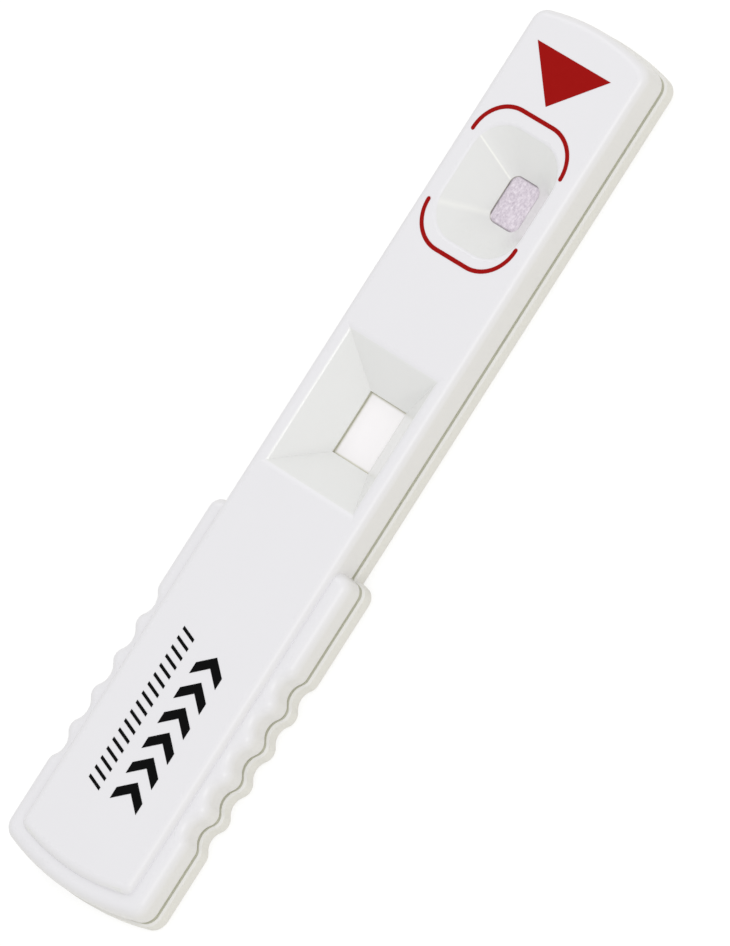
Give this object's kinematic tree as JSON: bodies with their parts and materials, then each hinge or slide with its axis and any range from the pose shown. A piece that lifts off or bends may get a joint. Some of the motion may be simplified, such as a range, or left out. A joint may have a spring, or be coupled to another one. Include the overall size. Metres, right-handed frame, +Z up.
{
  "type": "lateral flow test cassette",
  "caption": "White moulded test cassette with a scalloped grip, a rounded sample well, a rectangular read window and a reagent strip inside.",
  "frame": {"origin": "middle of the underside, on the surface that the cassette lies on", "axes": "+X along the cassette towards its insertion end, +Z up through the top face"},
  "size_m": [0.09, 0.018, 0.0055],
  "materials": {
    "housing_white": "smooth satin moulding",
    "housing_ivory": "smooth satin moulding",
    "card": "smooth",
    "membrane": "fine matt",
    "conjugate_fibre": "matt fibre",
    "lilac_fleece": "matt fibre",
    "absorbent_paper": "matt fibre",
    "red_ink": "satin print",
    "black_ink": "satin print"
  },
  "bodies": {
    "root": {"upper_housing": "housing_white", "lower_housing": "housing_ivory", "backing_card": "card", "membrane": "membrane", "conjugate_pad": "conjugate_fibre", "sample_fleece": "lilac_fleece", "absorbent_pad": "absorbent_paper", "direction_print": "red_ink", "front_bracket_print": "red_ink", "rear_bracket_print": "red_ink", "grip_print": "black_ink"}
  },
  "joints": []
}
